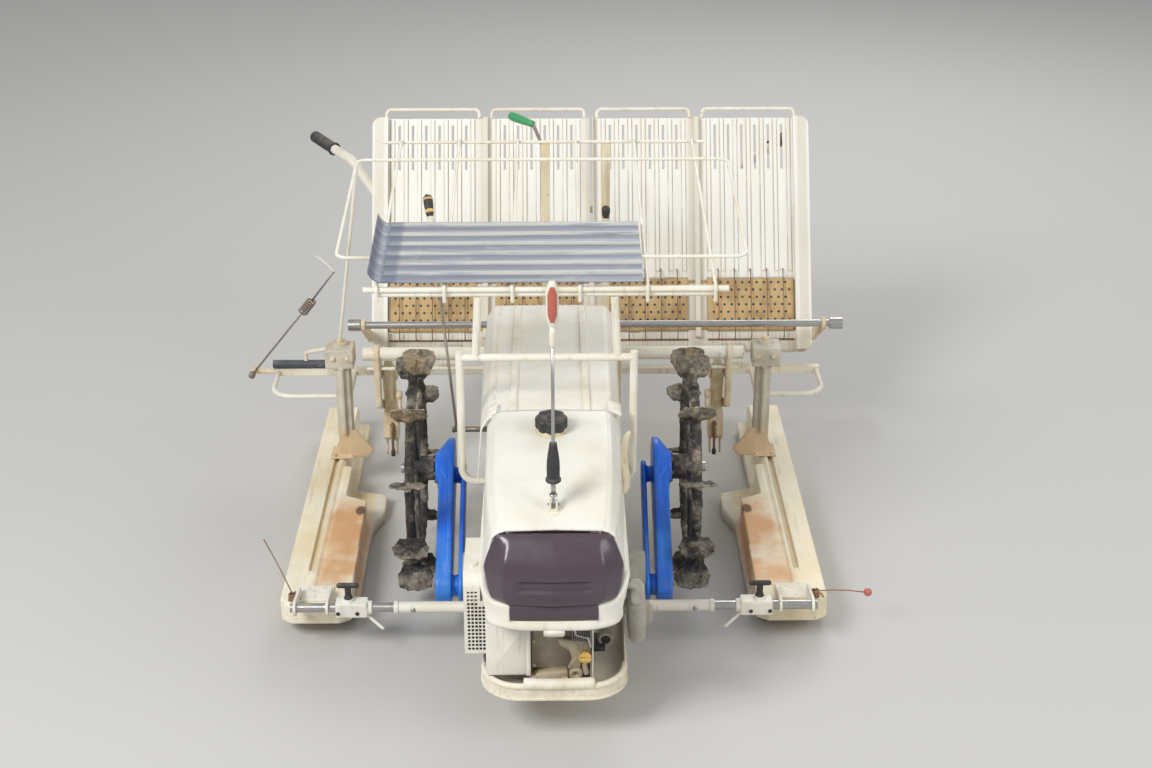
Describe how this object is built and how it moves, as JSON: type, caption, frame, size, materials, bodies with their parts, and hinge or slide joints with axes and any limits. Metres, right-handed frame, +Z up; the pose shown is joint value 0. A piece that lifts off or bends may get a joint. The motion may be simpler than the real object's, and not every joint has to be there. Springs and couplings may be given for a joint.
{
  "type": "rice transplanter",
  "caption": "Walk-behind rice transplanter with lugged wheels, floats, a ribbed seedling table, a wire rack for spare mats and a hooded engine in a guard tub.",
  "frame": {"origin": "on the ground under the middle of the wheel axle, on the centre float's sole", "axes": "+Y towards the handles (the machine drives towards -Y), +Z up, +X to the right when seen from the nose"},
  "size_m": [1.633, 2.0662, 1.086],
  "materials": {
    "cream_paint": "satin",
    "float_plastic": "matt",
    "blue_paint": "satin",
    "plum_plastic": "gloss",
    "black_plastic": "matt",
    "black_rubber": "matt",
    "wheel_rubber": "muddy",
    "bare_steel": "worn",
    "rusty_steel": "rusted",
    "cast_grey": "matt",
    "belt_tan": "matt",
    "yellow_plastic": "gloss",
    "white_plastic": "matt",
    "red_paint": "satin"
  },
  "bodies": {
    "chassis": {"centre_float": "float_plastic", "float_left": "float_plastic", "float_right": "float_plastic", "float_brackets": "rusty_steel", "front_bar": "cream_paint", "bar_rods": "bare_steel", "clamp_left": "cream_paint", "clamp_right": "cream_paint", "clamp_knobs": "black_plastic", "feeler_left": "rusty_steel", "feeler_right": "rusty_steel", "engine_block": "cast_grey", "engine_guard": "cream_paint", "engine_front": "cast_grey", "fan_cover": "cream_paint", "air_cleaner": "cast_grey", "oil_cap": "yellow_plastic", "hood": "cream_paint", "hood_skirt": "cream_paint", "nose_panel": "plum_plastic", "fuel_cap": "black_plastic", "rear_cover": "cream_paint", "transmission": "cast_grey", "frame_rails": "cream_paint", "swing_case_left": "blue_paint", "swing_case_right": "blue_paint", "guard_hoop": "cream_paint", "seedling_rack": "cream_paint", "rack_columns": "cream_paint", "scoop_plate": "bare_steel", "planting_beam": "cream_paint", "planting_post_left": "cast_grey", "planting_post_right": "cast_grey", "planting_arms": "cast_grey", "planting_links": "rusty_steel", "table_rail": "cream_paint", "rail_guards": "cream_paint", "side_grip": "black_rubber", "handlebar": "cream_paint", "hand_grips": "black_rubber", "levers": "black_plastic", "rack_stay": "cream_paint", "marker_bracket": "cast_grey", "pole_base": "cream_paint"},
    "wheel_left": {"wheel_left": "wheel_rubber", "axle_left": "bare_steel"},
    "wheel_right": {"wheel_right": "wheel_rubber", "axle_right": "bare_steel"},
    "table": {"seedling_table": "white_plastic", "table_bails": "cream_paint", "feed_belts": "belt_tan", "table_bar": "bare_steel", "bar_arms": "cast_grey"},
    "marker": {"marker_arm": "rusty_steel"},
    "pole": {"aiming_pole": "red_paint"}
  },
  "joints": [
    {"name": "wheel_left_spin", "type": "hinge", "parent": "chassis", "child": "wheel_left", "pos_m": [-0.338, 0, 0.305], "axis": [1, 0, 0], "continuous": true},
    {"name": "wheel_right_spin", "type": "hinge", "parent": "chassis", "child": "wheel_right", "pos_m": [0.338, 0, 0.305], "axis": [1, 0, 0], "continuous": true},
    {"name": "table_slide", "type": "slide", "parent": "chassis", "child": "table", "axis": [1, 0, 0], "range_m": [-0.25, 0.03]},
    {"name": "marker_swing", "type": "hinge", "parent": "chassis", "child": "marker", "pos_m": [-0.836, 0.6, 0.285], "axis": [0, -1, 0], "range_deg": [0, 150]},
    {"name": "pole_fold", "type": "hinge", "parent": "chassis", "child": "pole", "pos_m": [0, -0.69, 0.57985], "axis": [1, 0, 0], "range_deg": [0, 80]}
  ]
}
